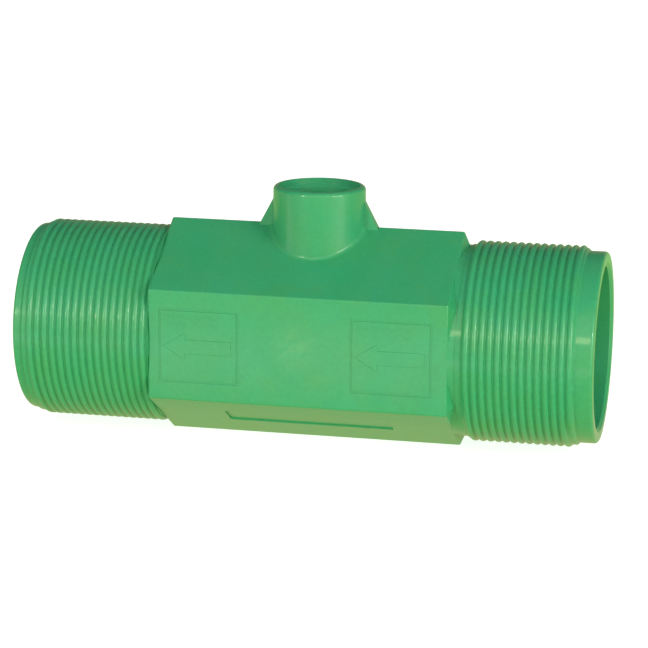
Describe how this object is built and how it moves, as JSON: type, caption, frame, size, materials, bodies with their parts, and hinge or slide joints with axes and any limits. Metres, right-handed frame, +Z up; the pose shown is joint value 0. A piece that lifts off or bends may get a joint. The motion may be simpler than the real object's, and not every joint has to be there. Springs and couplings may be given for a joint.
{
  "type": "turbine flow meter",
  "caption": "Moulded plastic flow meter with a hexagonal body, male pipe threads at both ends, an open sensor port on top and a bladed rotor that spins between vaned supports.",
  "frame": {"origin": "on the pipe axis at the middle of the body, 0.6 mm beside the sensor port's axis", "axes": "+X along the pipe axis against the flow (inlet end), +Z up through the sensor port, -Y the face with the flow arrows"},
  "size_m": [0.173, 0.0596, 0.0771],
  "materials": {
    "body_plastic": "semi-gloss moulded green plastic with fine mould texture",
    "vane_plastic": "natural white moulded plastic",
    "rotor_plastic": "black moulded plastic",
    "cartridge_plastic": "dark grey turned plastic",
    "washer_plastic": "white low-friction plastic",
    "magnet": "dark sintered magnet",
    "stainless": "ground stainless steel",
    "spring_steel": "stainless spring steel",
    "ceramic": "white ceramic",
    "ruby": "polished synthetic ruby",
    "gasket_rubber": "black rubber"
  },
  "bodies": {
    "meter_body": {"body": "body_plastic", "inlet_straightener": "vane_plastic", "outlet_straightener": "vane_plastic", "inlet_nose_cone": "vane_plastic", "outlet_nose_cone": "vane_plastic", "inlet_retaining_ring": "spring_steel", "outlet_retaining_ring": "spring_steel", "inlet_seat_gasket": "gasket_rubber", "outlet_seat_gasket": "gasket_rubber", "inlet_locating_dowel": "stainless", "outlet_locating_dowel": "stainless", "inlet_bearing_cartridge": "cartridge_plastic", "outlet_bearing_cartridge": "cartridge_plastic", "inlet_bearing_bush": "ceramic", "outlet_bearing_bush": "ceramic", "inlet_end_stone": "ruby", "outlet_end_stone": "ruby"},
    "rotor": {"turbine_rotor": "rotor_plastic", "rotor_magnets": "magnet", "rotor_shaft": "stainless", "inlet_thrust_washer": "washer_plastic", "outlet_thrust_washer": "washer_plastic", "inlet_shaft_collar": "stainless", "outlet_shaft_collar": "stainless"}
  },
  "joints": [
    {"name": "rotor_spin", "type": "hinge", "parent": "meter_body", "child": "rotor", "pos_m": [0, 0, 0], "axis": [1, 0, 0], "continuous": true}
  ]
}
